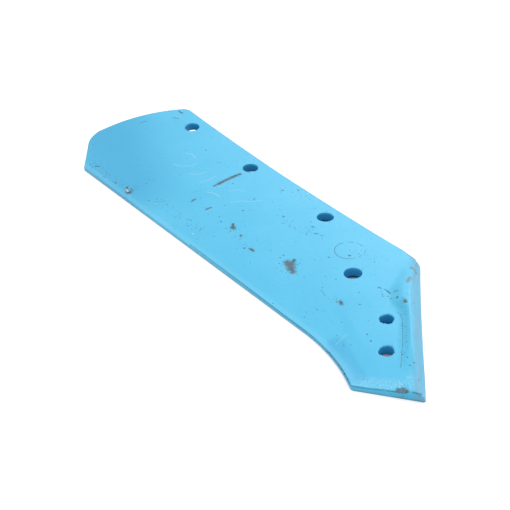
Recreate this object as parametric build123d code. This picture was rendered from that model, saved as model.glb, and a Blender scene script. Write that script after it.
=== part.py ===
from build123d import *
from math import cos, hypot, radians, sin
import os

os.makedirs("parts", exist_ok=True)

# Plough share: one forged and trimmed steel plate, 10 mm thick, millimetres.
# While it is drawn, X runs along the cutting edge from the wing to the toe, Y runs from the
# cutting edge to the back edge, Z is up from the ground that the share lies on, and X is zero
# at the third bolt from the wing.

# Plate
share_width = 149.0           # cutting edge to back edge
plate_thickness = 10.0
edge_height = 2.3             # top of the plate at the cutting edge, before the lip lifts it
lip_width = 8.0               # how far in the top flattens out along the cutting edge

# Form of the top: a shallow arch across the plate, with a back edge that climbs to the wing
back_rise = 7.9               # back edge above cutting edge where the share is flattest
flattest_x = 109.0
wing_lift = 28.0              # what the back edge climbs further by the end of the wing
arch_at_wing = 5.2
arch_at_toe = 4.2
toe_lift = 2.0                # the toe pad turns up a little towards the point

# Outline seen from above
edge_end_x = -283.0           # the straight cutting edge stops here at the wing
wing_corner = (-332.5, 36.0)
wing_back_x = -284.0
wing_bulge = 6.0              # the end of the wing is a flat arc
curve_start_x = 125.0         # from here the cutting edge curves down to the toe
toe_corner = (207.5, -19.0)
toe_tip = (258.0, 17.8)
landside_angle = 43.3         # landside edge to cutting edge, degrees
landside_lean = 31.0          # landside face leans in from the vertical, degrees

wing_corner_radius = 12.0
wing_back_radius = 12.0
landside_back_radius = 8.0
toe_corner_radius = 4.0
toe_tip_radius = 1.5

# Raised ridge along the landside
ridge_height = 5.0
ridge_crest_inset = 15.0      # inner edge of its flat crest, from the landside edge
ridge_foot_inset = 24.0       # foot of its inner flank, from the landside edge
ridge_back_start = 8.0        # the ridge begins this far from the back edge, along the landside
ridge_back_full = 40.0
ridge_tip_start = 28.0        # and runs out this far from the tip
ridge_tip_full = 70.0

# Bolt holes, punched square to the surface
frame_bolt_diameter = 17.5
back_bolt_margin = 20.0       # back edge to the row of three
back_bolt_x = (-245.5, -129.2, -0.3)
front_bolt_margin = 65.0      # back edge to the single bolt in front of the row
front_bolt_x = 93.3
toe_bolt_diameter = 13.0
toe_bolt_inset = 33.0         # landside edge to the row of two
toe_bolt_from_tip = 53.2
toe_bolt_pitch = 42.5

# Spacing of the points that carry the spline surfaces
coarse_step = 30.0
row_step = 8.0
fine_step = 3.0
overhang = 30.0               # the surfaces are this much larger than the outline

landside_along = Vector(cos(radians(landside_angle)), -sin(radians(landside_angle)), 0)
landside_out = Vector(sin(radians(landside_angle)), cos(radians(landside_angle)), 0)
tip = Vector(toe_tip[0], toe_tip[1], 0)
landside_length = (share_width - tip.Y) / sin(radians(landside_angle))
wing_end_x = wing_corner[0]


def blend(value, start, end):
    """0 before start, 1 after end and an S curve between them."""
    share = min(1, max(0, (value - start) / (end - start)))
    return share * share * (3 - 2 * share)


def landside_inset(x, y):
    """Distance of a plan point inside the landside edge."""
    return (tip - Vector(x, y, 0)).dot(landside_out)


def from_tip(x, y):
    """Distance of a plan point from the tip, measured along the landside."""
    return (tip - Vector(x, y, 0)).dot(landside_along)


def plate_top(x, y):
    """Height of the plate's top without the ridge: a rise and an arch across the plate."""
    across = (y + hypot(y, lip_width)) / 2 / share_width
    wing_share = (flattest_x - x) / (flattest_x - wing_end_x)
    rise = back_rise + wing_lift * wing_share**2
    arch = arch_at_wing + (arch_at_toe - arch_at_wing) * (x - wing_end_x) / (tip.X - wing_end_x)
    lift = toe_lift * blend(x, curve_start_x, tip.X)
    return edge_height + rise * across + 4 * arch * across * (1 - across) + lift


def ridge_top(x, y):
    """Extra height of the ridge: full on its crest, with a soft flank and soft ends."""
    flank = blend(-landside_inset(x, y), -ridge_foot_inset, -ridge_crest_inset)
    length = from_tip(x, y)
    tip_end = blend(length, ridge_tip_start, ridge_tip_full)
    back_end = blend(landside_length - length, ridge_back_start, ridge_back_full)
    return ridge_height * flank * tip_end * back_end


def steps(start, end, step):
    """Evenly spaced values from start to end, no further apart than step."""
    count = max(2, round((end - start) / step))
    return [start + (end - start) * i / count for i in range(count + 1)]


def column(inset, y):
    """The x at which the line at this inset from the landside edge crosses y."""
    return tip.X - (inset + (y - tip.Y) * landside_out.Y) / landside_out.X


def top_surface():
    """Spline through points whose last columns run along the ridge."""
    plain_inset = ridge_foot_inset + 4 * fine_step
    ridge_insets = steps(-overhang, plain_inset, fine_step)
    left = wing_end_x - overhang
    shares = steps(0, 1, coarse_step / (tip.X - left))[:-1]
    rows = []
    for y in steps(toe_corner[1] - overhang, share_width + overhang, row_step):
        ridge_foot = column(plain_inset, y)
        columns = [left + (ridge_foot - left) * share for share in shares]
        columns += [column(inset, y) for inset in reversed(ridge_insets)]
        rows.append([Vector(x, y, plate_top(x, y) + ridge_top(x, y)) for x in columns])
    return Face.make_surface_from_array_of_points(rows)


def under_surface():
    """The same plate form without the ridge, one thickness lower."""
    columns = steps(wing_end_x - overhang, tip.X + overhang, coarse_step)
    rows = steps(toe_corner[1] - overhang, share_width + overhang, row_step)
    points = [[Vector(x, y, plate_top(x, y) - plate_thickness) for x in columns] for y in rows]
    return Face.make_surface_from_array_of_points(points)


def outline():
    """The trimmed shape of the share, seen from above."""
    landside_back = tip - landside_along * landside_length
    edge_start = (edge_end_x, 0)
    curve_start = (curve_start_x, 0)
    wing_back = (wing_back_x, share_width)
    edges = [
        Line(edge_start, curve_start),
        TangentArc(curve_start, toe_corner, tangent=(1, 0)),
        Line(toe_corner, toe_tip),
        Line(toe_tip, landside_back),
        Line(landside_back, wing_back),
        SagittaArc(wing_back, wing_corner, -wing_bulge),
        Line(wing_corner, edge_start),
    ]
    shape = make_face(edges)
    rounded = [
        (wing_corner, wing_corner_radius),
        (wing_back, wing_back_radius),
        (landside_back, landside_back_radius),
        (toe_corner, toe_corner_radius),
        (toe_tip, toe_tip_radius),
    ]
    for corner, radius in rounded:
        shape = fillet(shape.vertices().sort_by_distance(corner)[0], radius)
    return shape


def bolt_places():
    """Plan position and diameter of each bolt hole, wing to toe."""
    back_row = share_width - back_bolt_margin
    front_row = share_width - front_bolt_margin
    places = [(x, back_row, frame_bolt_diameter) for x in back_bolt_x]
    places.append((front_bolt_x, front_row, frame_bolt_diameter))
    for row in (1, 0):
        distance = toe_bolt_from_tip + row * toe_bolt_pitch
        spot = tip - landside_out * toe_bolt_inset - landside_along * distance
        places.append((spot.X, spot.Y, toe_bolt_diameter))
    return places


def bolt_plane(x, y):
    """Plane on the plate's top at a bolt, facing out of it."""
    step = 1.0
    slope_x = (plate_top(x + step, y) - plate_top(x - step, y)) / (2 * step)
    slope_y = (plate_top(x, y + step) - plate_top(x, y - step)) / (2 * step)
    return Plane(origin=(x, y, plate_top(x, y)), z_dir=(-slope_x, -slope_y, 1))


def landside_cutter():
    """Block on the outer side of the landside face, which leans in over the landside edge."""
    length = 4 * landside_length
    depth = 2 * share_width
    block = Box(length, depth, depth, align=(Align.CENTER, Align.MIN, Align.CENTER))
    edge = Plane(origin=tip, x_dir=landside_along, z_dir=(0, 0, 1))
    return edge * Rot(landside_lean, 0, 0) * block


def share():
    highest = plate_top(wing_end_x, share_width) + ridge_height + overhang
    body = extrude(outline(), amount=highest)
    body &= extrude(top_surface(), amount=2 * highest, dir=(0, 0, -1))
    body &= extrude(under_surface(), amount=2 * highest, dir=(0, 0, 1))
    body -= landside_cutter()
    for x, y, diameter in bolt_places():
        body -= bolt_plane(x, y) * Cylinder(diameter / 2, 4 * plate_thickness)
    return body


plough_share = share()
box = plough_share.bounding_box()
plough_share = Pos(-box.center().X, -box.center().Y, -box.min.Z) * plough_share
export_step(plough_share, "parts/plough_share.step")
print("size", [round(side, 2) for side in box.size], "shift", box.center(), box.min.Z)
print("volume", round(plough_share.volume), "solids", len(plough_share.solids()))
for x, y, diameter in bolt_places():
    print("bolt", round(x - box.center().X, 2), round(y - box.center().Y, 2), diameter)
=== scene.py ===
# %% [markdown]
# # A plough share
# The share is the blade that lies at the bottom of a plough and cuts the furrow loose. It is one
# forged steel plate: arched across, climbing towards its wing, with a raised ridge along the
# landside and plain bolt holes. It has been painted light blue, stacked, dragged and chipped.
# The first cell loads the measured solid. Everything after it is worked out in that same frame.

# %% Load the frame
from math import cos, radians, sin, tan

import bmesh
import bpy
import numpy as np
from mathutils import Matrix, Vector


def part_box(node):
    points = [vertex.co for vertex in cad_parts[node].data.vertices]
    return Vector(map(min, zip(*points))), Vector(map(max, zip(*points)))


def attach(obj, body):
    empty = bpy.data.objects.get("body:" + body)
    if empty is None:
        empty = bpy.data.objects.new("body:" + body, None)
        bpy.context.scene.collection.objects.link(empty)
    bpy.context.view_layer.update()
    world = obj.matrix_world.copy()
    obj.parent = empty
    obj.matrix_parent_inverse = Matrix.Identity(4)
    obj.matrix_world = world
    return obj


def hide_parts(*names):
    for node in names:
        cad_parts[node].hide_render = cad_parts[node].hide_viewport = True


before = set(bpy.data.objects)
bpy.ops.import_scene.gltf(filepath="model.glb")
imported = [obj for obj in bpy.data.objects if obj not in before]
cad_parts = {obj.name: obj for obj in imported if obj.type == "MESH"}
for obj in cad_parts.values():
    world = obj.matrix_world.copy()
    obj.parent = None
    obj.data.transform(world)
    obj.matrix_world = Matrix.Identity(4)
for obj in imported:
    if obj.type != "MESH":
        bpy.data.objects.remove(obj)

NODE = "plough_share"
cad_low, cad_high = (np.array(corner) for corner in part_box(NODE))
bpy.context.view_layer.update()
print("solid from", cad_low, "to", cad_high)

# %% [markdown]
# ## Sizes
# The sizes are the share's own, in millimetres. X runs along the cutting edge from the wing to the
# toe and is close to zero at the third bolt, Y runs from the cutting edge to the back edge, and Z
# is up.
# They are the values that a drawing of the share would carry, so the finished surface lies on the
# solid, and only fine things such as rounded edges, dents and forging waves are added.

# %% Sizes in millimetres
SHARE_WIDTH = 149.0
PLATE_THICKNESS = 10.0
EDGE_HEIGHT = 2.3
LIP_WIDTH = 8.0
BACK_RISE = 7.9
FLATTEST_X = 109.0
WING_LIFT = 28.0
ARCH_AT_WING = 5.2
ARCH_AT_TOE = 4.2
TOE_LIFT = 2.0

EDGE_START = np.array([-283.0, 0.0])
WING_CORNER = np.array([-332.5, 36.0])
WING_BACK = np.array([-284.0, SHARE_WIDTH])
WING_BULGE = 6.0
CURVE_START = np.array([125.0, 0.0])
TOE_CORNER = np.array([207.5, -19.0])
TOE_TIP = np.array([258.0, 17.8])
LANDSIDE_ANGLE = radians(43.3)
LANDSIDE_LEAN = radians(31.0)
LANDSIDE_ALONG = np.array([cos(LANDSIDE_ANGLE), -sin(LANDSIDE_ANGLE)])
LANDSIDE_OUT = np.array([sin(LANDSIDE_ANGLE), cos(LANDSIDE_ANGLE)])
LANDSIDE_LENGTH = (SHARE_WIDTH - TOE_TIP[1]) / sin(LANDSIDE_ANGLE)
LANDSIDE_BACK = TOE_TIP - LANDSIDE_ALONG * LANDSIDE_LENGTH

FRAME_BOLT_RADIUS = 8.75
TOE_BOLT_RADIUS = 6.5
BACK_BOLT_X = (-245.5, -129.2, -0.3)
BACK_BOLT_MARGIN = 20.0
FRONT_BOLT = (93.3, SHARE_WIDTH - 65.0)
TOE_BOLT_INSET = 33.0
TOE_BOLT_FROM_TIP = 53.2
TOE_BOLT_PITCH = 42.5


def toe_bolt(step):
    """Place of a toe bolt: a fixed distance in from the landside, stepped away from the tip."""
    back = LANDSIDE_ALONG * (TOE_BOLT_FROM_TIP + step * TOE_BOLT_PITCH)
    return TOE_TIP - LANDSIDE_OUT * TOE_BOLT_INSET - back


BOLTS = [(x, SHARE_WIDTH - BACK_BOLT_MARGIN, FRAME_BOLT_RADIUS) for x in BACK_BOLT_X]
BOLTS.append((*FRONT_BOLT, FRAME_BOLT_RADIUS))
BOLTS += [(*toe_bolt(step), TOE_BOLT_RADIUS) for step in (1, 0)]
print("bolts", [tuple(round(float(v), 1) for v in bolt) for bolt in BOLTS])

# %% [markdown]
# ## The form of the top
# A forged plate has no straight line in it, so its top is a height for each point of the plan:
# a rise from the cutting edge to the back edge, an arch on top of that rise, and the ridge.
# Every function takes whole arrays of x and y, so the complete surface is worked out at once.

# %% Height of the plate


def blend(value, start, end):
    """0 before start, 1 after end, and the S curve 3 s squared minus 2 s cubed between them."""
    share = np.clip((value - start) / (end - start), 0.0, 1.0)
    return share * share * (3.0 - 2.0 * share)


def bump(value, middle, width):
    """A bell of height 1 at middle: e to the minus (distance over width) squared."""
    return np.exp(-(((value - middle) / width) ** 2))


def landside_inset(x, y):
    """Distance inside the landside edge."""
    return (TOE_TIP[0] - x) * LANDSIDE_OUT[0] + (TOE_TIP[1] - y) * LANDSIDE_OUT[1]


def from_back(x, y):
    """Distance along the landside, measured from its corner with the back edge."""
    along = (TOE_TIP[0] - x) * LANDSIDE_ALONG[0] + (TOE_TIP[1] - y) * LANDSIDE_ALONG[1]
    return LANDSIDE_LENGTH - along


def plate_top(x, y):
    """Rise times the share of the width, plus an arch of four a s (1 - s), plus the toe's lift."""
    across = (y + np.hypot(y, LIP_WIDTH)) / 2.0 / SHARE_WIDTH
    wing_share = (FLATTEST_X - x) / (FLATTEST_X - WING_CORNER[0])
    rise = BACK_RISE + WING_LIFT * wing_share**2
    toe_share = (x - WING_CORNER[0]) / (TOE_TIP[0] - WING_CORNER[0])
    arch = ARCH_AT_WING + (ARCH_AT_TOE - ARCH_AT_WING) * toe_share
    lift = TOE_LIFT * blend(x, CURVE_START[0], TOE_TIP[0])
    return EDGE_HEIGHT + rise * across + 4.0 * arch * across * (1.0 - across) + lift


# %% Landside ridge
RIDGE_HEIGHT = 5.0


def ridge(x, y):
    """A crest that starts near the back edge and runs out before the tip. Its flank is widest
    and softest behind the toe bolts, where the foot swings in, and steep beside them."""
    inset = landside_inset(x, y)
    along = from_back(x, y)
    crest = 11.8 + 6.8 * bump(along, 58.0, 26.0) + 7.5 * blend(along, 118.0, 165.0)
    foot = 21.3 + 9.5 * blend(along, 22.0, 52.0) * (1.0 - blend(along, 70.0, 87.0))
    ends = blend(along, 8.0, 54.0) * (1.0 - blend(along, 118.0, 168.0))
    return RIDGE_HEIGHT * blend(-inset, -foot, -crest) * ends


def pad(x, y):
    """The flat round the toe bolts stands a little proud of the curved edge beside it. The step
    is an S curve of the distance from a slanted line, and it fades out again uphill."""
    across = (x - 137.4) * 0.418 + (y - 34.8) * 0.908
    step = blend(across, -8.0, 7.0) * (1.0 - blend(across, 24.0, 62.0))
    return 0.8 * step * blend(x, 96.0, 150.0)


DENTS = [
    (44.0, 49.0, 9.0, 0.28), (-194.0, 8.5, 7.0, 0.45), (-46.0, 44.0, 7.0, 0.2),
    (-126.0, 86.0, 5.0, 0.3), (-126.5, 100.0, 6.0, 0.35), (120.0, 46.0, 5.0, 0.15),
    (140.0, 108.0, 6.0, 0.3), (135.0, 88.0, 8.0, 0.25), (239.0, 8.0, 5.0, 0.4),
    (186.0, 80.5, 5.0, 0.5), (-275.0, 134.0, 9.0, 0.2), (108.0, 146.0, 5.0, 0.4),
]


def dents(x, y):
    """Shallow knocks, each a bell of its own width and depth."""
    total = np.zeros_like(np.asarray(x, float))
    for dent_x, dent_y, width, depth in DENTS:
        total -= depth * bump(np.hypot(x - dent_x, y - dent_y), 0.0, width)
    return total


def forging_waves(x, y):
    """Long shallow waves that a forged plate keeps: three slanted sines of different length."""
    first = np.sin(0.031 * x + 0.052 * y + 0.6)
    second = np.sin(-0.047 * x + 0.071 * y + 2.1)
    third = np.sin(0.083 * x - 0.029 * y + 4.0)
    return 0.09 * first + 0.06 * second + 0.04 * third - 0.12


def surface_top(x, y):
    """The finished top: plate, ridge, pad, dents and waves."""
    return plate_top(x, y) + ridge(x, y) + pad(x, y) + dents(x, y) + forging_waves(x, y)


def surface_under(x, y):
    """One thickness below the plate, but never below the ground, with a soft change between."""
    hanging = plate_top(x, y) - PLATE_THICKNESS
    return (hanging + np.hypot(hanging, 0.4)) / 2.0


print("top at the third bolt", round(float(surface_top(0.0, 129.0)), 2), "mm")

# %% [markdown]
# ## The outline
# Seen from above the share is trimmed to straight runs, one arc at the wing's end and one curve
# that dips to the toe. The sides are laid out as points, their corners are replaced by arcs, and
# the closed loop is read by its length, which makes it easy to spread mesh points along it.

# %% Outline loop
LOOP_STEP = 0.5


def straight(start, end):
    """Evenly spaced points on a straight line."""
    count = max(2, int(np.linalg.norm(end - start) / LOOP_STEP))
    share = np.linspace(0.0, 1.0, count)[:, None]
    return start + (end - start) * share


def bulged(start, end, bulge):
    """A flat arc, drawn as a parabola that stands out by bulge to the right of its chord."""
    points = straight(start, end)
    chord = (end - start) / np.linalg.norm(end - start)
    share = np.linspace(0.0, 1.0, len(points))[:, None]
    return points + np.array([chord[1], -chord[0]]) * 4.0 * bulge * share * (1.0 - share)


def toe_curve():
    """The circle that leaves the straight cutting edge along it and ends at the toe corner."""
    reach, drop = TOE_CORNER - CURVE_START
    radius = (reach**2 + drop**2) / (2.0 * abs(drop))
    dx = np.linspace(0.0, reach, int(reach / LOOP_STEP))
    return np.stack([CURVE_START[0] + dx, np.sqrt(radius**2 - dx**2) - radius], axis=1)


def rounded_corner(side_in, side_out, radius):
    """Shortens two sides by radius times tan(half the turn) and joins them with an arc."""
    along_in = side_in[-1] - side_in[-6]
    along_out = side_out[5] - side_out[0]
    along_in, along_out = (d / np.linalg.norm(d) for d in (along_in, along_out))
    turn = np.arccos(np.clip(along_in @ along_out, -1.0, 1.0))
    cut = radius * tan(turn / 2.0)
    corner = side_in[-1]
    kept_in = side_in[np.linalg.norm(side_in - corner, axis=1) > cut]
    kept_out = side_out[np.linalg.norm(side_out - corner, axis=1) > cut]
    left = np.array([-along_in[1], along_in[0]])
    centre = corner - along_in * cut + left * radius
    angles = np.linspace(0.0, turn, max(4, int(radius * turn / LOOP_STEP)))[:, None]
    arc = centre + radius * (np.sin(angles) * along_in - np.cos(angles) * left)
    return kept_in, arc, kept_out


def outline_loop(wing_radius, start_radius):
    """Closed loop of the outline, counter-clockwise, and the loop index of each corner."""
    sides = [
        straight(EDGE_START, CURVE_START),
        toe_curve(),
        straight(TOE_CORNER, TOE_TIP),
        straight(TOE_TIP, LANDSIDE_BACK),
        straight(LANDSIDE_BACK, WING_BACK),
        bulged(WING_BACK, WING_CORNER, WING_BULGE),
        straight(WING_CORNER, EDGE_START),
    ]
    radii = [0.0, 4.0, 1.5, 8.0, 14.0, wing_radius, start_radius]
    arcs = []
    for i, radius in enumerate(radii):
        after = (i + 1) % len(sides)
        if radius == 0.0:
            arcs.append(sides[i][-1:])
            continue
        sides[i], arc, sides[after] = rounded_corner(sides[i], sides[after], radius)
        arcs.append(arc)
    points, corners, count = [], [], 0
    for side, arc in zip(sides, arcs):
        points += [side, arc]
        corners.append(count + len(side) + len(arc) // 2)
        count += len(side) + len(arc)
    return np.concatenate(points), corners


def without_doubles(points, corners):
    """Drops points that repeat their neighbour and carries the corner indices over."""
    gap = np.linalg.norm(points - np.roll(points, 1, axis=0), axis=1)
    keep = gap > 0.02
    places = np.cumsum(keep) - 1
    return points[keep], [int(places[min(c, len(points) - 1)]) for c in corners]


DRAWN, _ = without_doubles(*outline_loop(12.0, 0.5))
LOOP, CORNERS = without_doubles(*outline_loop(23.0, 5.0))
PLAN_LOW, PLAN_HIGH = DRAWN.min(axis=0), DRAWN.max(axis=0)
print("outline", len(LOOP), "points,", np.round(PLAN_HIGH - PLAN_LOW, 2), "mm")

# %% [markdown]
# ## A grid that fills the outline
# The plan is a four-sided patch: the cutting edge and toe at the bottom, the landside on the right,
# the back edge on top and the wing's end on the left. A Coons patch blends the four sides into a
# grid, so one formula places every point and the rows follow the edges of the share.

# %% Fineness of the grid
COLUMNS = 300
ROWS = 88
SHEAR_START = 0.66            # columns left of this share stand nearly straight across

# %% Rim of the plate
def outward(loop):
    """Unit normals of a closed counter-clockwise loop, pointing out of it."""
    tangent = np.roll(loop, -1, axis=0) - np.roll(loop, 1, axis=0)
    normal = np.stack([tangent[:, 1], -tangent[:, 0]], axis=1)
    return normal / np.linalg.norm(normal, axis=1)[:, None]


def lean_share(x, y):
    """The landside face stands steeper at its back corner: a share of the full lean."""
    return 0.72 + 0.28 * blend(from_back(x, y), -2.0, 36.0)


def leaned(loop, height):
    """Moves points in from the landside until they lie on its leaning face at their height."""
    x, y = loop[:, 0], loop[:, 1]
    missing = tan(LANDSIDE_LEAN) * lean_share(x, y) * height - landside_inset(x, y)
    soft = (missing + np.hypot(missing, 2.5)) / 2.0
    return loop - LANDSIDE_OUT * np.where(missing > -8.0, soft, 0.0)[:, None]


def rim_radius(loop):
    """Rounding of the upper edge: fine at the cutting edge, larger elsewhere, small at the tip."""
    cutting = 1.0 - blend(loop[:, 1], 3.0, 14.0)
    landside = 1.0 - blend(landside_inset(loop[:, 0], loop[:, 1]), 12.0, 16.0)
    near_tip = bump(np.hypot(loop[:, 0] - TOE_TIP[0], loop[:, 1] - TOE_TIP[1]), 0.0, 9.0)
    return (1.5 - 0.6 * cutting * (1.0 - landside) + 1.7 * landside) * (1.0 - 0.65 * near_tip)


TOP_LOOP = leaned(LOOP, surface_top(LOOP[:, 0], LOOP[:, 1]))
TOP_LOOP = leaned(LOOP, surface_top(TOP_LOOP[:, 0], TOP_LOOP[:, 1]))
UNDER_LOOP = leaned(LOOP, surface_under(LOOP[:, 0], LOOP[:, 1]))
TOP_INNER = TOP_LOOP - outward(TOP_LOOP) * rim_radius(TOP_LOOP)[:, None]
UNDER_RADIUS = 0.5
UNDER_INNER = UNDER_LOOP - outward(UNDER_LOOP) * UNDER_RADIUS

# The two landside corners of the patch go where the leaning face really ends.
moved = np.flatnonzero(np.linalg.norm(TOP_LOOP - LOOP, axis=1) > 1.5)
CORNERS[2], CORNERS[3] = int(moved[0]), int(moved[-1])


# %% Grid over the patch
def side_indices(start, end, places):
    """Loop indices, with fractions, at shares of the loop's length between two corners."""
    count = len(LOOP)
    order = start + np.arange((end - start) % count + 1)
    part = LOOP[order % count]
    length = np.concatenate([[0.0], np.cumsum(np.linalg.norm(np.diff(part, axis=0), axis=1))])
    return np.interp(places * length[-1], length, order)


def along_loop(loop, indices):
    """Points of a closed loop at fractional indices."""
    low = np.floor(indices).astype(int)
    share = (indices - low)[:, None]
    return loop[low % len(loop)] * (1.0 - share) + loop[(low + 1) % len(loop)] * share


def patch_indices():
    """Where the columns and rows of the grid meet the four sides. Columns left of SHEAR_START
    stand nearly straight across, and the rest lean over step by step to the landside."""
    u = np.linspace(0.0, 1.0, COLUMNS + 1)
    v = np.linspace(0.0, 1.0, ROWS + 1)
    low = np.interp(u, [0.0, SHEAR_START, 1.0], [0.0, 0.60, 1.0])
    high = np.interp(u, [0.0, SHEAR_START, 1.0], [0.0, 0.72, 1.0])
    tip, back, wing, start = (CORNERS[k] for k in (2, 3, 4, 6))
    bottom = side_indices(start, tip, low)
    right = side_indices(tip, back, v)
    top = side_indices(back, wing, 1.0 - high[::-1])[::-1]
    left = side_indices(wing, start, v)[::-1]
    return bottom, right, top, left


def coons(loop):
    """Blend of the four sides: bottom-top plus left-right minus the blend of the corners."""
    bottom, right, top, left = (along_loop(loop, side) for side in patch_indices())
    u = np.linspace(0.0, 1.0, COLUMNS + 1)[:, None, None]
    v = np.linspace(0.0, 1.0, ROWS + 1)[None, :, None]
    across = (1 - v) * bottom[:, None, :] + v * top[:, None, :]
    along = (1 - u) * left[None, :, :] + u * right[None, :, :]
    low = (1 - u) * bottom[0] + u * bottom[-1]
    high = (1 - u) * top[0] + u * top[-1]
    return across + along - ((1 - v) * low + v * high)


TOP_GRID = coons(TOP_INNER)
UNDER_GRID = coons(UNDER_INNER)
print("grid", TOP_GRID.shape[:2], "points on each face")

# %% [markdown]
# ## Points and quads
# The mesh is gathered as arrays: a sheet of points for each face, and loops of points that are
# joined two by two. A hole is made by leaving out a square of quads and joining its border to the
# rim, the rim to the bore, and the bore to the same kind of border on the underside.

# %% Surface builder


class Surface:
    """Collects points and quads as whole arrays."""

    def __init__(self):
        """Starts without points."""
        self.points, self.quads, self.parts, self.count = [], [], [], 0

    def add(self, points, part):
        """Stores points with the number of the part that they belong to, returns indices."""
        flat = points.reshape(-1, 3)
        first = self.count
        self.points.append(flat)
        self.parts.append(np.full(len(flat), part))
        self.count += len(flat)
        return np.arange(first, self.count).reshape(points.shape[:-1])

    def sheet(self, index, keep, upward):
        """Quads of a grid of indices, where keep is true."""
        quads = np.stack([index[:-1, :-1], index[1:, :-1], index[1:, 1:], index[:-1, 1:]], axis=2)
        quads = quads[keep]
        self.quads.append(quads if upward else quads[:, ::-1])

    def band(self, outer, inner):
        """Quads between two closed loops of indices."""
        quads = [outer, np.roll(outer, -1), np.roll(inner, -1), inner]
        self.quads.append(np.stack(quads, axis=1))

    def finished(self):
        """All points, quads and part numbers, without the points that no quad uses."""
        points, quads = np.concatenate(self.points), np.concatenate(self.quads)
        parts = np.concatenate(self.parts)
        used = np.zeros(len(points), bool)
        used[quads.ravel()] = True
        place = np.cumsum(used) - 1
        return points[used], place[quads], parts[used]


FACE, RIM, WALL, BORE, UNDER = range(5)


def with_height(plan, height):
    """Plan points with a height array as third value."""
    return np.concatenate([plan, height[..., None]], axis=-1)


def border(index, low, high):
    """The closed loop of a block of a grid of indices, counter-clockwise from above."""
    (i0, j0), (i1, j1) = low, high
    bottom, right = index[i0:i1, j0], index[i1, j0:j1]
    top, left = index[i1:i0:-1, j1], index[i0, j1:j0:-1]
    return np.concatenate([bottom, right, top, left])


# %% Bolt holes
WINDOW = 9                    # grid squares that a hole takes on each side of its centre
HOLE_ROUNDING = 0.7
FOOT_ROUNDING = 0.3


def bolt_axis(x, y):
    """Unit normal of the plate at a place, from its slopes over one millimetre."""
    slope_x = plate_top(x + 0.5, y) - plate_top(x - 0.5, y)
    slope_y = plate_top(x, y + 0.5) - plate_top(x, y - 0.5)
    normal = np.array([-slope_x, -slope_y, 1.0])
    return normal / np.linalg.norm(normal)


def window_of(grid, x, y):
    """Lowest and highest grid index of the square round a place."""
    nearest = np.argmin(np.hypot(grid[..., 0] - x, grid[..., 1] - y))
    i, j = np.unravel_index(nearest, grid.shape[:2])
    return (i - WINDOW, j - WINDOW), (i + WINDOW, j + WINDOW)


def bore_rings(x, y, radius, torn):
    """Rings from the rim's start down to its end: a quarter circle, a straight wall and a small
    quarter circle. A torn rim has a rounding that changes round the hole."""
    axis = bolt_axis(x, y)
    centre = np.array([x, y, plate_top(x, y)])
    length = centre[2] - surface_under(x - 10 * axis[0], y - 10 * axis[1])
    side = np.cross([0.0, 1.0, 0.0], axis)
    side /= np.linalg.norm(side)
    other = np.cross(axis, side)

    def ring(angles, extra, depth):
        """Circle of radius plus extra, at a depth below the top along the axis."""
        reach = (radius + extra)[:, None]
        around = np.cos(angles)[:, None] * side + np.sin(angles)[:, None] * other
        return centre + reach * around - np.asarray(depth)[..., None] * axis

    def rings(angles):
        """All the rings for one set of angles."""
        wobble = 0.4 * np.sin(3 * angles + x) + 0.35 * np.sin(5 * angles + y)
        wobble += 0.3 * np.sin(11 * angles + x) + 0.25 * np.sin(17 * angles + y)
        rounding = np.maximum(HOLE_ROUNDING * (1.0 + torn * 0.5 * wobble), 0.25)
        ragged = torn * 0.55 * wobble
        out = []
        for phi in np.linspace(0.0, np.pi / 2, 5):
            extra = ragged + rounding * (1 - sin(phi))
            out.append(ring(angles, extra, rounding * (1 - cos(phi))))
        for share in (0.3, 0.6, 0.9):
            depth = rounding + share * (length - 1.2 - rounding)
            out.append(ring(angles, ragged * (1.0 - share), depth))
        for phi in np.linspace(0.0, np.pi / 2, 3):
            extra = np.zeros_like(angles) + FOOT_ROUNDING * (1 - cos(phi))
            out.append(ring(angles, extra, length - FOOT_ROUNDING * (1 - sin(phi))))
        return out

    return rings


def even_angles(points, x, y):
    """Evenly spaced angles that start where the border's own angles start, on average."""
    angles = np.unwrap(np.arctan2(points[:, 1] - y, points[:, 0] - x))
    steps = np.arange(len(points)) * 2.0 * np.pi / len(points)
    return steps + np.mean(angles - steps)


def collar(surface, start, end, height, shares, part):
    """Rings in plan between a border and a rim, laid on a height function."""
    loops = []
    for share in shares:
        plan = start[:, :2] * (1.0 - share) + end[:, :2] * share
        loops.append(surface.add(with_height(plan, height(plan[:, 0], plan[:, 1])), part))
    return loops


def cut_hole(surface, top_index, under_index, bolt, torn):
    """Joins the border of the window on top, through the bore, to the border underneath."""
    x, y, radius = bolt
    axis = bolt_axis(x, y)
    low_top, high_top = window_of(TOP_GRID, x, y)
    under_x, under_y = x - 10.0 * axis[0], y - 10.0 * axis[1]
    low_under, high_under = window_of(UNDER_GRID, under_x, under_y)
    border_top = border(top_index, low_top, high_top)
    border_under = border(under_index, low_under, high_under)
    known = np.concatenate(surface.points)
    rings = bore_rings(x, y, radius, torn)(even_angles(known[border_top], x, y))
    lift = surface_top(rings[0][:, 0], rings[0][:, 1]) - rings[0][:, 2]
    drop = surface_under(rings[-1][:, 0], rings[-1][:, 1]) - rings[-1][:, 2]
    for k, ring in enumerate(rings):
        ring[:, 2] += lift * max(0.0, 1.0 - k / 4.0) + drop * max(0.0, (k - 8) / 2.0)
    shares = (0.3, 0.55, 0.75, 0.9)
    loops = [border_top]
    loops += collar(surface, known[border_top], rings[0], surface_top, shares, FACE)
    loops += [surface.add(ring, BORE) for ring in rings]
    shares = (0.1, 0.3, 0.6)
    loops += collar(surface, rings[-1], known[border_under], surface_under, shares, UNDER)
    loops.append(border_under)
    for outer, inner in zip(loops[:-1], loops[1:]):
        surface.band(outer, inner)
    return (low_top, high_top), (low_under, high_under)


# %% Rim and walls


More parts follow.
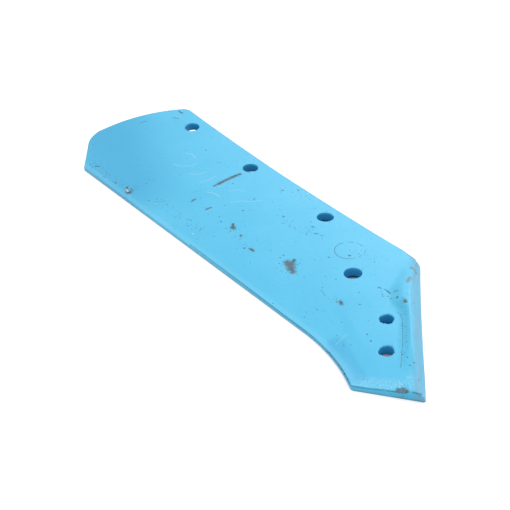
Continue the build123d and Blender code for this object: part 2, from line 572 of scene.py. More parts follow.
def rim_loops(surface):
    """Loops from the top face, round the upper edge, down the wall and round the lower edge."""
    bottom, right, top, left = patch_indices()
    places = np.concatenate([bottom[:-1], right[:-1], top[::-1][:-1], left[::-1][:-1]])
    inner, outer = along_loop(TOP_INNER, places), along_loop(TOP_LOOP, places)
    foot, foot_inner = along_loop(UNDER_LOOP, places), along_loop(UNDER_INNER, places)
    radius = np.linalg.norm(outer - inner, axis=1)
    loops = []
    for phi in np.linspace(0.0, np.pi / 2, 6)[1:]:
        plan = inner + (outer - inner) * sin(phi)
        height = surface_top(plan[:, 0], plan[:, 1]) - radius * (1.0 - cos(phi))
        loops.append(surface.add(with_height(plan, height), RIM))
    crown = with_height(plan, height)
    base = with_height(foot, surface_under(foot[:, 0], foot[:, 1]) + UNDER_RADIUS)
    landside = 1.0 - blend(landside_inset(outer[:, 0], outer[:, 1]), 14.0, 20.0)
    back = 1.0 - blend(from_back(outer[:, 0], outer[:, 1]), 5.0, 60.0)
    swell = (landside * (0.4 + 1.0 * back))[:, None] * np.array([*LANDSIDE_OUT, 0.0])
    for share in (0.2, 0.4, 0.6, 0.8, 1.0):
        wall = crown * (1.0 - share) + base * share + 4.0 * share * (1.0 - share) * swell
        loops.append(surface.add(wall, WALL))
    for phi in np.linspace(0.0, np.pi / 2, 4)[1:-1]:
        plan = foot + (foot_inner - foot) * (1.0 - cos(phi))
        height = base[:, 2] - UNDER_RADIUS * sin(phi)
        loops.append(surface.add(with_height(plan, height), WALL))
    return loops


def build_surface():
    """The whole closed surface of the share."""
    surface = Surface()
    height = surface_top(TOP_GRID[..., 0], TOP_GRID[..., 1])
    top_index = surface.add(with_height(TOP_GRID, height), FACE)
    height = surface_under(UNDER_GRID[..., 0], UNDER_GRID[..., 1])
    under_index = surface.add(with_height(UNDER_GRID, height), UNDER)
    keep_top = np.ones((COLUMNS, ROWS), bool)
    keep_under = np.ones((COLUMNS, ROWS), bool)
    for number, bolt in enumerate(BOLTS):
        torn = 1.0 if number > 3 else 0.15
        window, window_under = cut_hole(surface, top_index, under_index, bolt, torn)
        for keep, (low, high) in ((keep_top, window), (keep_under, window_under)):
            keep[low[0]:high[0], low[1]:high[1]] = False
    surface.sheet(top_index, keep_top, True)
    surface.sheet(under_index, keep_under, False)
    whole = ((0, 0), (COLUMNS, ROWS))
    loops = [border(top_index, *whole), *rim_loops(surface), border(under_index, *whole)]
    for upper, lower in zip(loops[:-1], loops[1:]):
        surface.band(lower, upper)
    return surface.finished()


points, quads, parts = build_surface()
print(len(points), "points,", 2 * len(quads), "triangles")

# %% [markdown]
# ## Into the frame
# The drawing's own origin is at the third bolt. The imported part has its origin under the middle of
# its box, so the shift between the two is the difference of the two boxes' centres.

# %% Place the surface
MM = 0.001
plan_centre = (PLAN_LOW + PLAN_HIGH) / 2.0
cad_centre = (cad_low + cad_high)[:2] / 2.0
SHIFT = np.array([*(cad_centre / MM - plan_centre), 0.0])
place = (points + SHIFT) * MM
place = np.clip(place, cad_low, cad_high)

mesh = bpy.data.meshes.new("share_blade")
mesh.from_pydata(place.tolist(), [], quads.tolist())
mesh.polygons.foreach_set("use_smooth", np.ones(len(quads), bool))
share = bpy.data.objects.new("share_blade", mesh)
bpy.context.collection.objects.link(share)

check = bmesh.new()
check.from_mesh(mesh)
open_edges = sum(1 for edge in check.edges if not edge.is_manifold)
print("volume", round(check.calc_volume(signed=True) * 1e6, 1), "cm3, open edges", open_edges)
check.free()

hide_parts(NODE)
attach(share, "root")
print("shift", np.round(SHIFT, 3), "mm")

# %% [markdown]
# ## Wear and painted light as numbers on the mesh
# Paint wears first where the share touches others in a stack and where it is dragged: along the
# edges and on the landside. These places follow from the form, so they are stored as attributes,
# one number for each point, and the paint reads them. Two more say where light and shade are
# painted: a paler band on the flatter lip behind the cutting edge, and darker bores. One more
# marks the underside.

# %% Wear attributes
x, y, z = points.T
inset = landside_inset(x, y)


def store(name, values):
    """Writes one number for each point."""
    attribute = mesh.attributes.new(name, "FLOAT", "POINT")
    attribute.data.foreach_set("value", values.astype(np.float32))


bottom_side = LOOP[(LOOP[:, 1] < 1.0) & (LOOP[:, 0] < TOE_CORNER[0])][::8]
from_edge = np.full(len(points), 99.0)
for part in np.array_split(bottom_side, 20):
    gaps = np.hypot(x[:, None] - part[:, 0], y[:, None] - part[:, 1])
    from_edge = np.minimum(from_edge, gaps.min(axis=1))
# Painted highlight: this band, 0.5 to 7.5 mm in from the cutting edge, is later tinted paler for the
# light on the flatter lip.
lip = blend(from_edge, 0.5, 2.0) * (1.0 - blend(from_edge, 5.0, 7.5)) * (parts == FACE)
upper_sides = np.maximum(blend(y, 144.0, 147.0), 1.0 - blend(x, -318.0, -290.0))
rim = (parts == RIM) * (0.25 + 0.75 * upper_sides) * (1.0 - blend(x, 200.0, 206.0))
back_line = (parts == FACE) * blend(y, 146.2, 147.2) * (1.0 - blend(x, 90.0, 104.0))
rim = np.maximum(rim, 0.8 * back_line)
landside_worn = (1.0 - blend(inset, 7.5, 12.5)) * np.isin(parts, (FACE, RIM, WALL))
store("lip", lip)
store("rim", rim)
store("wall_foot", (parts == WALL) * (1.0 - blend(z, 0.1, 1.0)))
store("landside_worn", landside_worn)
# Painted shade: the bore walls below the rim are marked here for a darker blue.
store("bore", (parts == BORE) * blend(surface_top(x, y) - z, 0.2, 1.2))
store("under", (parts == UNDER) * 1.0)
print("rim points", int(rim.sum()), "landside points", int((landside_worn > 0.5).sum()))

# %% [markdown]
# ## Paint
# One coat of light blue gloss, sprayed on the forged skin. Marks are written as fields: a number
# that is one in the middle of a mark and zero at its border. Noise roughens that border, and the
# field then becomes a mask. Chips, strokes and specks are all made from these few groups.

# %% Node helpers


def node(tree, kind, inputs=(), **settings):
    """Adds a node. Inputs is a dict from socket name or number to a value or another socket."""
    made = tree.nodes.new(kind)
    for name, value in settings.items():
        setattr(made, name, value)
    for key, value in dict(inputs).items():
        if isinstance(value, bpy.types.NodeSocket):
            tree.links.new(value, made.inputs[key])
        else:
            made.inputs[key].default_value = value
    return made


def math(tree, operation, *values, clamp=False):
    """A math node's result for the given values or sockets."""
    made = node(tree, "ShaderNodeMath", dict(enumerate(values)), operation=operation)
    made.use_clamp = clamp
    return made.outputs[0]


def vector(tree, operation, *values, output="Vector"):
    """A vector math node's result."""
    inputs = dict(enumerate(values))
    if operation == "SCALE":
        inputs = {0: values[0], "Scale": values[1]}
    made = node(tree, "ShaderNodeVectorMath", inputs, operation=operation)
    return made.outputs[output]


def ramp(tree, value, low, high):
    """A smooth step of value from 0 at low to 1 at high."""
    inputs = {"Value": value, "From Min": low, "From Max": high}
    made = node(tree, "ShaderNodeMapRange", inputs, interpolation_type="SMOOTHSTEP")
    return made.outputs["Result"]


def noise(tree, position, scale, detail=3.0, roughness=0.55):
    """Noise between 0 and 1 with a number of features per millimetre."""
    inputs = {"Vector": position, "Scale": scale, "Detail": detail, "Roughness": roughness}
    return node(tree, "ShaderNodeTexNoise", inputs).outputs["Fac"]


def mix(tree, share, first, second):
    """A colour between two colours."""
    made = node(tree, "ShaderNodeMix", data_type="RGBA")
    for name, value in (("Factor", share), ("A", first), ("B", second)):
        socket = next(s for s in made.inputs if s.enabled and s.name == name)
        if isinstance(value, bpy.types.NodeSocket):
            tree.links.new(value, socket)
        else:
            socket.default_value = value
    return next(s for s in made.outputs if s.enabled)


def group(name, inputs, outputs):
    """An empty node group with the named sockets, and its input and output nodes."""
    tree = bpy.data.node_groups.new(name, "ShaderNodeTree")
    for label, kind in inputs:
        tree.interface.new_socket(label, in_out="INPUT", socket_type="NodeSocket" + kind)
    for label, kind in outputs:
        tree.interface.new_socket(label, in_out="OUTPUT", socket_type="NodeSocket" + kind)
    return tree, tree.nodes.new("NodeGroupInput").outputs, tree.nodes.new("NodeGroupOutput")


def use(tree, made, inputs):
    """The outputs of a node that runs a group."""
    return node(tree, "ShaderNodeGroup", inputs, node_tree=made).outputs


# %% Stroke group


def stroke_group():
    """Takes x, y and the best field so far as one vector, and returns it with the better of that
    field and its own: one minus the distance from a straight stroke, in half widths. The foot of
    the perpendicular is the start plus the clamped share of the way to the end."""
    inputs = [("State", "Vector"), ("Start", "Vector"), ("Way", "Vector"), ("Width", "Float")]
    tree, given, result = group("stroke_field", inputs, [("State", "Vector")])
    state = node(tree, "ShaderNodeSeparateXYZ", {0: given["State"]}).outputs
    here = vector(tree, "MULTIPLY", given["State"], (1.0, 1.0, 0.0))
    offset = vector(tree, "SUBTRACT", here, given["Start"])
    dot = vector(tree, "DOT_PRODUCT", offset, given["Way"], output="Value")
    size = vector(tree, "DOT_PRODUCT", given["Way"], given["Way"], output="Value")
    share = math(tree, "DIVIDE", dot, size, clamp=True)
    foot = vector(tree, "SCALE", given["Way"], share)
    gap = vector(tree, "LENGTH", vector(tree, "SUBTRACT", offset, foot), output="Value")
    field = math(tree, "SUBTRACT", 1.0, math(tree, "DIVIDE", gap, given["Width"]))
    best = math(tree, "MAXIMUM", state["Z"], field)
    joined = node(tree, "ShaderNodeCombineXYZ", {0: state["X"], 1: state["Y"], 2: best})
    tree.links.new(joined.outputs[0], result.inputs["State"])
    return tree


STROKE = stroke_group()


def strokes(tree, position, marks):
    """The largest field of several strokes, each x, y, x, y and half width in millimetres. The
    strokes run one after another on one vector, which keeps a long list light to work out."""
    state = vector(tree, "SUBTRACT", position, (0.0, 0.0, 9.0))
    for start_x, start_y, end_x, end_y, width in marks:
        inputs = {
            "State": state,
            "Start": (start_x, start_y, 0.0),
            "Way": (end_x - start_x + 0.01, end_y - start_y, 0.0),
            "Width": width,
        }
        state = use(tree, STROKE, inputs)["State"]
    return node(tree, "ShaderNodeSeparateXYZ", {0: state}).outputs["Z"]


def line(width, *places):
    """Strokes of one half width through several places of the plan."""
    return [(*a, *b, width) for a, b in zip(places[:-1], places[1:])]


# %% [markdown]
# ## Marks on the top
# Each mark is a short stroke: where it starts and ends on the plan, and half its width. A chip is
# a few short strokes whose border noise has eaten away. They are grouped by how deep they go:
# through to the steel, just into the paint, or a rubbed deposit that lies on it.

# %% Where the marks are
CHIPS = [
    (36.0, 50.4, 43.0, 48.5, 3.4), (38.2, 57.5, 42.0, 50.0, 1.7), (43.0, 48.5, 52.5, 44.7, 2.6),
    (40.0, 52.0, 46.5, 47.0, 3.8),
    (-126.3, 77.5, -126.3, 85.0, 1.2), (-126.3, 84.0, -126.8, 101.0, 2.1),
    (-126.8, 101.0, -125.9, 112.0, 2.0),
    (-203.4, 12.2, -201.6, 10.5, 1.3), (-200.5, 9.6, -196.0, 8.8, 1.5),
    (-194.3, 8.2, -193.0, 9.2, 2.9), (-198.0, 13.5, -192.0, 13.0, 0.5),
    (-54.2, 51.0, -49.5, 47.5, 1.4), (-50.5, 46.9, -48.0, 47.6, 2.1), (-32.1, 45.1, -31.6, 44.4, 1.3),
    (-121.5, 44.8, -121.7, 49.4, 1.0), (-97.0, 46.8, -96.0, 51.8, 1.2),
    (-6.9, 38.3, -2.6, 38.6, 1.5), (-13.1, 34.9, -12.6, 35.2, 0.9),
    (118.0, 47.3, 121.4, 45.8, 1.7), (115.8, 44.6, 116.0, 44.8, 0.8), (151.0, 85.6, 152.0, 85.0, 0.9),
    (163.5, 84.0, 160.8, 85.4, 1.5), (102.5, 148.0, 108.5, 147.6, 1.7),
    (236.5, 5.6, 242.0, 9.6, 1.9), (239.5, 8.4, 239.6, 8.6, 2.6), (69.0, 100.5, 69.6, 101.2, 1.1),
]
BRIGHT_CHIPS = [
    (-200.8, 9.4, -196.5, 8.8, 1.1), (-149.7, 16.8, -149.2, 17.0, 0.8), (-73.4, 13.9, -73.0, 14.0, 0.8),
]
PINPOINTS = [
    (-115.7, 95.0, -115.3, 95.2, 0.8), (-87.8, 64.2, -87.6, 64.4, 0.7), (-66.1, 72.6, -65.6, 72.8, 0.9),
    (-75.6, 93.7, -75.2, 94.5, 0.8), (-75.3, 48.2, -75.1, 48.4, 0.7), (-67.6, 44.7, -67.0, 45.3, 0.9),
    (-29.2, 96.7, -28.2, 96.5, 1.0), (-70.3, 127.6, -68.5, 128.6, 0.7),
    (-60.0, 141.3, -59.4, 141.0, 1.0),
    (-193.2, 112.4, -192.6, 112.6, 0.8), (-222.9, 8.3, -221.6, 8.0, 1.0),
    (-161.4, 14.4, -161.2, 14.6, 0.8),
    (131.4, 88.2, 136.0, 88.5, 0.5), (136.0, 88.5, 140.6, 87.3, 0.7), (126.3, 86.1, 129.0, 86.8, 0.5),
    (139.2, 79.7, 139.5, 79.9, 0.7), (142.0, 82.6, 142.3, 82.8, 0.6), (146.6, 82.0, 147.0, 82.3, 0.7),
    (142.1, 90.5, 144.5, 92.6, 0.5), (224.2, 35.3, 224.4, 35.4, 0.7), (223.5, 31.0, 223.7, 31.1, 0.7),
    (133.7, 56.3, 134.2, 56.8, 0.7), (25.2, 50.0, 25.6, 50.4, 0.7), (24.6, 54.6, 24.9, 55.2, 0.8),
    (169.0, 33.5, 169.2, 33.6, 0.8),
    (177.4, 29.9, 178.0, 29.6, 0.8), (5.6, 106.7, 8.0, 107.6, 0.8), (12.2, 93.5, 12.8, 94.0, 0.7),
    (17.6, 100.2, 19.4, 103.0, 0.7), (24.2, 103.0, 24.6, 103.2, 0.7), (58.0, 84.0, 58.6, 84.2, 0.8),
    (-284.5, 136.5, -279.3, 137.6, 0.9), (-278.6, 123.5, -272.4, 127.6, 0.6),
    (-272.0, 9.5, -268.0, 12.5, 0.9), (-299.0, 89.0, -296.0, 96.5, 0.5),
]
SMUDGES = [
    (136.5, 116.0, 140.8, 108.6, 2.6), (122.0, 131.5, 128.0, 132.0, 2.2),
    (102.0, 148.0, 112.0, 147.0, 2.0), (-286.0, 137.2, -279.0, 137.4, 1.4),
]
CHALK = [
    *line(1.2, (-204.0, 92.0), (-198.0, 96.0), (-188.0, 95.6)),
    *line(1.0, (-196.0, 70.0), (-186.0, 74.0), (-179.0, 82.0), (-178.0, 90.0)),
    *line(1.1, (-166.0, 72.0), (-158.0, 78.0), (-156.0, 88.0)),
    *line(1.0, (-144.0, 70.0), (-140.0, 80.0), (-141.0, 90.0)),
    *line(1.2, (-122.0, 66.0), (-114.0, 70.0), (-106.0, 70.0)),
    *line(1.0, (-106.0, 84.0), (-102.0, 92.0), (-94.0, 96.0)),
    *line(1.0, (-88.0, 72.0), (-82.0, 82.0), (-74.0, 88.0), (-68.0, 98.0)),
]
FAINT_LINES = [(158.3, 7.5, 154.8, 23.1, 0.62)]
SPECKLED = [
    (-70.0, 130.0, -38.0, 138.0, 9.0), (-20.0, 93.0, 24.0, 101.0, 9.0),
    (-150.0, 20.0, -76.0, 24.0, 11.0),
    (42.0, 48.0, 50.0, 44.0, 14.0), (-50.0, 46.0, -8.0, 38.0, 9.0), (128.0, 84.0, 152.0, 86.0, 7.0),
    (108.0, 46.0, 124.0, 46.0, 6.0), (-280.0, 10.0, -190.0, 12.0, 9.0), (60.0, 108.0, 90.0, 112.0, 9.0),
    (150.0, 92.0, 176.0, 70.0, 7.0), (176.0, 70.0, 222.0, 26.0, 5.0), (150.0, 118.0, 236.0, 40.0, 5.0),
]
# Painted shade: one zone darkens the wing and the other the toe's curved cutting edge, where the
# surface slopes away from the light.
WING_PAINTED_SHADE = [(-330.0, 60.0, -200.0, 14.0, 75.0)]
TOE_EDGE_PAINTED_SHADE = [(158.0, 8.0, 202.0, -8.0, 12.0)]
FROST = [(211.0, -7.0, 240.0, 14.0, 8.5), (238.0, 16.0, 234.0, 22.0, 5.0)]
GROOVE = line(0.7, (164.6, 72.9), (169.5, 71.8), (175.9, 67.9), (183.5, 61.2), (193.1, 52.0),
              (201.5, 43.5), (210.8, 33.6), (219.6, 24.6)) + [(92.4, 45.9, 101.7, 42.9, 0.55)]
RING_CENTRE = (62.5, 107.0, 0.0)
RING_RADIUS = 14.8

# %% [markdown]
# ## Blue paint
# The base is one blue that drifts a little over the plate, with painted shade on the wing, along the
# toe's curved edge and in the bores, and a painted highlight on the lip. The marks come on top in the
# order in which they happened: chips, scuffs, smudges and chalk last. The same masks drive colour,
# roughness and relief, so a chip is dull and sunk, and sound paint keeps its sheen.

# %% Colours
PAINT_DARK = (0.092, 0.545, 0.838, 1)
PAINT_LIGHT = (0.104, 0.568, 0.866, 1)
PAINT_MOTTLE = (0.082, 0.515, 0.815, 1)
PAINTED_SHADE_BLUE = (0.046, 0.400, 0.700, 1)
LIP_PAINTED_HIGHLIGHT = (0.300, 0.700, 0.900, 1)
BORE_PAINTED_SHADE = (0.026, 0.340, 0.660, 1)
RUBBED = (0.215, 0.420, 0.570, 1)
SCRATCH = (0.070, 0.150, 0.240, 1)
CHALK_WHITE = (0.620, 0.780, 0.900, 1)
SPECK = (0.035, 0.150, 0.260, 1)
DIRT = (0.170, 0.200, 0.220, 1)
RIM_WEAR = (0.240, 0.280, 0.300, 1)
RUST = (0.120, 0.100, 0.085, 1)
STEEL_DARK = (0.035, 0.045, 0.055, 1)
STEEL_LIGHT = (0.280, 0.285, 0.275, 1)
PIN = (0.040, 0.075, 0.110, 1)
SPARK = (0.560, 0.640, 0.700, 1)

# %% Paint masks


def speckle_group():
    """Pinpoints where sprayed paint missed or was knocked off: cells of a Voronoi pattern whose
    random number lies under a density, drawn as small dots of uneven size."""
    inputs = [("Position", "Vector"), ("Density", "Float")]
    tree, given, result = group("speckles", inputs, [("Mask", "Float")])
    cells = node(tree, "ShaderNodeTexVoronoi", {"Vector": given["Position"], "Scale": 0.5})
    chance = node(tree, "ShaderNodeSeparateColor", {0: cells.outputs["Color"]}).outputs
    chosen = math(tree, "LESS_THAN", chance[0], given["Density"])
    size = math(tree, "MULTIPLY_ADD", chance[1], 0.28, 0.14)
    dot = math(tree, "LESS_THAN", cells.outputs["Distance"], size)
    tree.links.new(math(tree, "MULTIPLY", chosen, dot), result.inputs["Mask"])
    return tree


SPECKLES = speckle_group()


def attribute(tree, name):
    """A number stored on the points."""
    return node(tree, "ShaderNodeAttribute", attribute_name=name).outputs["Fac"]


def eaten(tree, field, grain, reach, low=-0.04, high=0.12):
    """The mask of a field after noise has moved its border by up to reach."""
    moved = math(tree, "MULTIPLY_ADD", math(tree, "SUBTRACT", grain, 0.5), reach, field)
    return ramp(tree, moved, low, high)


def tint(tree, paint, mask, strength, colour):
    """The paint, moved towards a colour by a share of a mask."""
    return mix(tree, math(tree, "MULTIPLY", mask, strength), paint, colour)


# %% Sound paint
def sound_paint(tree, flat, medium, broad):
    """A slow drift, a fine mottle, painted shade on the wing and along the toe's curved edge, a painted
    highlight on the lip and painted shade in the bores.
    """
    paint = mix(tree, ramp(tree, broad, 0.3, 0.7), PAINT_DARK, PAINT_LIGHT)
    paint = tint(tree, paint, ramp(tree, medium, 0.5, 0.8), 0.55, PAINT_MOTTLE)
    # Painted shade: the wing, which tilts away from the light, is tinted darker.
    deep = ramp(tree, strokes(tree, flat, WING_PAINTED_SHADE), 0.0, 0.9)
    paint = tint(tree, paint, deep, 0.62, PAINTED_SHADE_BLUE)
    # Painted shade: a zone along the toe's curved cutting edge, where the surface slopes down more
    # steeply, is tinted darker.
    shade = ramp(tree, strokes(tree, flat, TOE_EDGE_PAINTED_SHADE), 0.0, 0.6)
    paint = tint(tree, paint, shade, 0.5, PAINTED_SHADE_BLUE)
    # Painted highlight: the lip band is tinted paler, for the light that its flatter slope catches.
    paint = tint(tree, paint, attribute(tree, "lip"), 0.16, LIP_PAINTED_HIGHLIGHT)
    # Painted shade: the bore walls are tinted a darker blue, for the shade inside the holes.
    return tint(tree, paint, attribute(tree, "bore"), 0.85, BORE_PAINTED_SHADE)


# %% Rubbed landside
def rubbed_landside(tree, paint, spot, worn):
    """Pale rubbing and long scratches that run with the furrow wall, from noise that is pulled
    out along the landside. Returns the paint and the streaks."""
    along = vector(tree, "DOT_PRODUCT", spot, (*LANDSIDE_ALONG, 0.0), output="Value")
    across = vector(tree, "DOT_PRODUCT", spot, (*LANDSIDE_OUT, 0.0), output="Value")
    height = node(tree, "ShaderNodeSeparateXYZ", {0: spot}).outputs["Z"]
    pulled = node(tree, "ShaderNodeCombineXYZ", {
        0: math(tree, "MULTIPLY", along, 0.03),
        1: math(tree, "MULTIPLY", across, 0.8),
        2: math(tree, "MULTIPLY", height, 0.8),
    }).outputs[0]
    streaks = noise(tree, pulled, 1.0, 5.0, 0.65)
    rubbed = math(tree, "MULTIPLY", worn, ramp(tree, streaks, 0.32, 0.56))
    paint = tint(tree, paint, rubbed, 0.70, RUBBED)
    scratch = math(tree, "MULTIPLY", worn, ramp(tree, streaks, 0.63, 0.68))
    return tint(tree, paint, scratch, 0.7, SCRATCH), streaks


# %% Ring
def ring_mask(tree, flat, medium):
    """A shallow ring round RING_CENTRE. Returns the whole ring, and the ring with the strength
    that the paint keeps: strongest towards the cutting edge, broken by noise elsewhere."""
    off_centre = vector(tree, "SUBTRACT", flat, RING_CENTRE)
    from_centre = vector(tree, "LENGTH", off_centre, output="Value")
    from_ring = math(tree, "ABSOLUTE", math(tree, "SUBTRACT", from_centre, RING_RADIUS))
    ring = ramp(tree, from_ring, 1.0, 0.3)
    facing = vector(tree, "DOT_PRODUCT", off_centre, (-0.03, -0.07, 0.0), output="Value")
    strong = math(tree, "ADD", ramp(tree, facing, -0.2, 0.6), ramp(tree, medium, 0.45, 0.65))
    return ring, math(tree, "MULTIPLY", ring, math(tree, "MINIMUM", strong, 1.0))


# %% Marks in the paint
def paint_marks(tree, paint, flat, fine, medium, grain):
    """Frost, specks, the groove, the ring, chalk, a scratch and smudges, in that order. Returns
    the paint and the masks that also make relief or change the gloss."""
    patch = ramp(tree, strokes(tree, flat, FROST), 0.0, 0.7)
    frost = math(tree, "MULTIPLY", patch, ramp(tree, fine, 0.5, 0.62))
    paint = tint(tree, paint, frost, 0.5, CHALK_WHITE)
    density = math(tree, "MULTIPLY", ramp(tree, strokes(tree, flat, SPECKLED), 0.0, 0.8), 0.45)
    density = math(tree, "ADD", density, 0.02)
    specks = use(tree, SPECKLES, {"Position": flat, "Density": density})["Mask"]
    paint = tint(tree, paint, specks, 0.72, SPECK)
    groove = ramp(tree, strokes(tree, flat, GROOVE), 0.0, 0.9)
    paint = tint(tree, paint, groove, 0.35, SPECK)
    ring, faded = ring_mask(tree, flat, medium)
    paint = tint(tree, paint, faded, 0.55, SPECK)
    chalk = eaten(tree, strokes(tree, flat, CHALK), grain, 2.2, 0.0, 0.9)
    faint = eaten(tree, strokes(tree, flat, FAINT_LINES), grain, 1.8, 0.0, 0.9)
    paint = tint(tree, paint, chalk, 0.30, CHALK_WHITE)
    paint = tint(tree, paint, faint, 0.28, CHALK_WHITE)
    smudge = eaten(tree, strokes(tree, flat, SMUDGES), grain, 3.6, -0.1, 0.7)
    return tint(tree, paint, smudge, 0.75, DIRT), groove, ring, chalk


# %% Worn edges and chips
def worn_edges(tree, paint, medium):
    """Rims lose paint in short runs, and the foot of the walls has picked up rusty dirt."""
    rim = math(tree, "MULTIPLY", attribute(tree, "rim"), ramp(tree, medium, 0.42, 0.6))
    paint = tint(tree, paint, rim, 0.55, RIM_WEAR)
    foot = math(tree, "MULTIPLY", attribute(tree, "wall_foot"), ramp(tree, medium, 0.3, 0.6))
    return tint(tree, paint, foot, 0.7, RUST)


def chips(tree, paint, flat, fine, medium, grain):
    """Chips through to the steel, pinpoints and bright spots. Returns the colour and the mask
    of all bare places."""
    chipped = eaten(tree, strokes(tree, flat, CHIPS), grain, 6.0, 0.0, 0.3)
    pinned = eaten(tree, strokes(tree, flat, PINPOINTS), grain, 4.0, 0.0, 0.4)
    steel = mix(tree, ramp(tree, medium, 0.42, 0.6), STEEL_DARK, RUST)
    steel = mix(tree, ramp(tree, grain, 0.55, 0.62), steel, STEEL_LIGHT)
    colour = tint(tree, paint, chipped, 0.88, steel)
    colour = tint(tree, colour, pinned, 0.8, PIN)
    sparks = eaten(tree, strokes(tree, flat, BRIGHT_CHIPS), fine, 1.6)
    return mix(tree, sparks, colour, SPARK), math(tree, "MAXIMUM", chipped, pinned)


# %% Blue paint
def blue_paint():
    """Blue paint with chips through to rusty steel, scuffs, specks, chalk and worn edges."""
    material = bpy.data.materials.new("blue_paint_worn")
    material.use_nodes = True
    tree = material.node_tree
    shader = tree.nodes["Principled BSDF"]
    object_space = node(tree, "ShaderNodeTexCoord").outputs["Object"]
    millimetres = vector(tree, "SCALE", object_space, 1000.0)
    spot = vector(tree, "SUBTRACT", millimetres, tuple(float(v) for v in SHIFT))
    flat = vector(tree, "MULTIPLY", spot, (1.0, 1.0, 0.0))
    # The marks are drawn on the plan, so the underside reads them from far away and stays clear.
    hidden = math(tree, "GREATER_THAN", attribute(tree, "under"), 0.5)
    flat = vector(tree, "ADD", flat, vector(tree, "SCALE", (5000.0, 0.0, 0.0), hidden))
    fine = noise(tree, spot, 0.9, 4.0, 0.65)
    grain = noise(tree, spot, 1.5, 3.0, 0.75)
    medium = noise(tree, spot, 0.2, 4.0, 0.6)
    worn = attribute(tree, "landside_worn")

    paint = sound_paint(tree, flat, medium, noise(tree, spot, 0.02, 3.0, 0.5))
    paint, streaks = rubbed_landside(tree, paint, spot, worn)
    paint, groove, ring, chalk = paint_marks(tree, paint, flat, fine, medium, grain)
    paint = worn_edges(tree, paint, medium)
    colour, bare = chips(tree, paint, flat, fine, medium, grain)
    tree.links.new(colour, shader.inputs["Base Color"])

    gloss = math(tree, "MULTIPLY_ADD", medium, 0.2, 0.32)
    gloss = math(tree, "MULTIPLY_ADD", worn, 0.18, gloss)
    gloss = math(tree, "MULTIPLY_ADD", chalk, 0.2, gloss)
    roughness = math(tree, "MULTIPLY_ADD", bare, 0.3, gloss)
    tree.links.new(roughness, shader.inputs["Roughness"])
    shader.inputs["Specular IOR Level"].default_value = 0.36

    height = math(tree, "MULTIPLY_ADD", bare, -0.16, math(tree, "MULTIPLY", medium, 0.16))
    height = math(tree, "MULTIPLY_ADD", fine, 0.05, height)
    height = math(tree, "MULTIPLY_ADD", groove, -0.28, height)
    height = math(tree, "MULTIPLY_ADD", ring, -0.10, height)
    height = math(tree, "MULTIPLY_ADD", math(tree, "MULTIPLY", worn, streaks), 0.25, height)
    relief = node(tree, "ShaderNodeBump", {"Strength": 1.0, "Distance": 0.001, "Height": height})
    tree.links.new(relief.outputs["Normal"], shader.inputs["Normal"])
    return material


mesh.materials.append(blue_paint())
print("paint nodes", len(mesh.materials[0].node_tree.nodes))

# %% [markdown]
# ## Floor, light and camera
# A pale floor takes the share's soft shadow, and close under the share a painted shadow turns the
# floor's colour dark blue and fades its glow. One large soft lamp stands behind on the left and the
# world fills the rest, so the top is bright and the landside flank keeps a little shade. The background
# is white through the world's and the floor's own colour for camera and gloss rays.

# %% Floor
floor_mesh = bpy.data.meshes.new("floor")
size = 6.0
low = -0.0002
corners = [(-size, -size, low), (size, -size, low), (size, size, low), (-size, size, low)]
floor_mesh.from_pydata(corners, [], [(0, 1, 2, 3)])
floor = bpy.data.objects.new("floor", floor_mesh)
bpy.context.collection.objects.link(floor)


def seen_directly(tree):
    """One for camera, gloss and transmission rays, zero for the light that falls on things."""
    path = node(tree, "ShaderNodeLightPath").outputs
    both = math(tree, "ADD", path["Is Camera Ray"], path["Is Glossy Ray"])
    return math(tree, "ADD", both, path["Is Transmission Ray"], clamp=True)


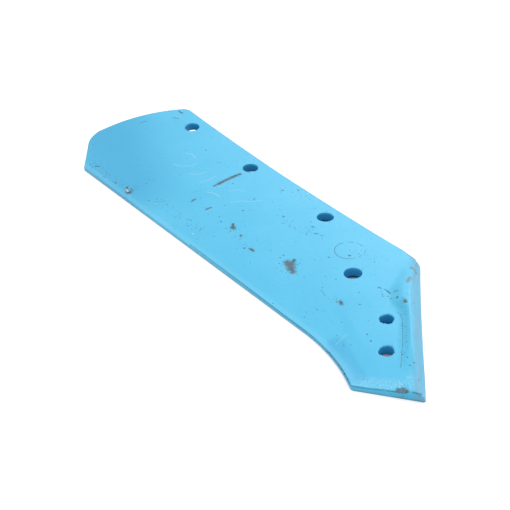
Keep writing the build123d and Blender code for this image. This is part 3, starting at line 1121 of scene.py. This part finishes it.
def floor_paint():
    """White diffuse floor with a little glow of its own for rays that see it directly; close under the
    share a painted shadow turns it dark blue and fades the glow.
    """
    material = bpy.data.materials.new("floor_white")
    material.use_nodes = True
    tree = material.node_tree
    tree.nodes.remove(tree.nodes["Principled BSDF"])
    near = node(tree, "ShaderNodeAmbientOcclusion", {"Distance": 0.06}, samples=8).outputs["AO"]
    open_floor = ramp(tree, near, 0.15, 0.60)
    # Painted shadow: where ambient occlusion finds the share close above, the floor's colour turns dark
    # blue.
    painted_shadow_tone = mix(tree, open_floor, (0.10, 0.20, 0.28, 1), (0.8, 0.8, 0.8, 1))
    matt = node(tree, "ShaderNodeBsdfDiffuse", {"Color": painted_shadow_tone})
    strength = math(tree, "MULTIPLY", math(tree, "MULTIPLY", seen_directly(tree), open_floor), 0.5)
    glow = node(tree, "ShaderNodeEmission", {"Color": (1, 1, 1, 1), "Strength": strength})
    both = node(tree, "ShaderNodeAddShader", {0: matt.outputs[0], 1: glow.outputs[0]})
    tree.links.new(both.outputs[0], tree.nodes["Material Output"].inputs["Surface"])
    return material


floor_mesh.materials.append(floor_paint())

# %% World and lamp
world = bpy.data.worlds.new("studio")
bpy.context.scene.world = world
world.use_nodes = True
sky = world.node_tree
AMBIENT = 0.76
fill = math(sky, "MULTIPLY_ADD", seen_directly(sky), 1.0 - AMBIENT, AMBIENT)
backdrop = sky.nodes["Background"]
backdrop.inputs["Color"].default_value = (1, 1, 1, 1)
sky.links.new(fill, backdrop.inputs["Strength"])

KEY_SHARE = 0.45              # 1 would light a white sheet that faces the lamp to full white
lamp = bpy.data.lights.new("key", "SUN")
lamp.energy = KEY_SHARE * np.pi
lamp.angle = radians(40.0)
key = bpy.data.objects.new("key", lamp)
key.rotation_euler = Vector((-0.27, 0.68, 0.68)).to_track_quat("Z", "Y").to_euler()
bpy.context.collection.objects.link(key)

# %% Camera
TARGET = Vector((0.030995, -0.02266, 0.0))
DISTANCE = 0.9746
AZIMUTH = radians(55.07)
ELEVATION = radians(32.92)
ROLL = radians(-3.18)
FOCAL_PIXELS = 980.3
PICTURE_PIXELS = 510.0
SENSOR_WIDTH = 36.0
LENS = FOCAL_PIXELS / PICTURE_PIXELS * SENSOR_WIDTH

toward = Vector((cos(ELEVATION) * sin(AZIMUTH), -cos(ELEVATION) * cos(AZIMUTH), sin(ELEVATION)))
level = Vector((cos(AZIMUTH), sin(AZIMUTH), 0.0))
upward = toward.cross(level)
right = cos(ROLL) * level + sin(ROLL) * upward
up = -sin(ROLL) * level + cos(ROLL) * upward
camera_data = bpy.data.cameras.new("camera")
camera_data.lens = LENS
camera_data.sensor_width = SENSOR_WIDTH
camera = bpy.data.objects.new("camera", camera_data)
turn = Matrix((right, up, toward)).transposed().to_4x4()
camera.matrix_world = Matrix.Translation(TARGET + DISTANCE * toward) @ turn
bpy.context.collection.objects.link(camera)
bpy.context.scene.camera = camera
bpy.context.scene.view_settings.view_transform = "Standard"
print("camera at", [round(v, 3) for v in camera.matrix_world.translation])
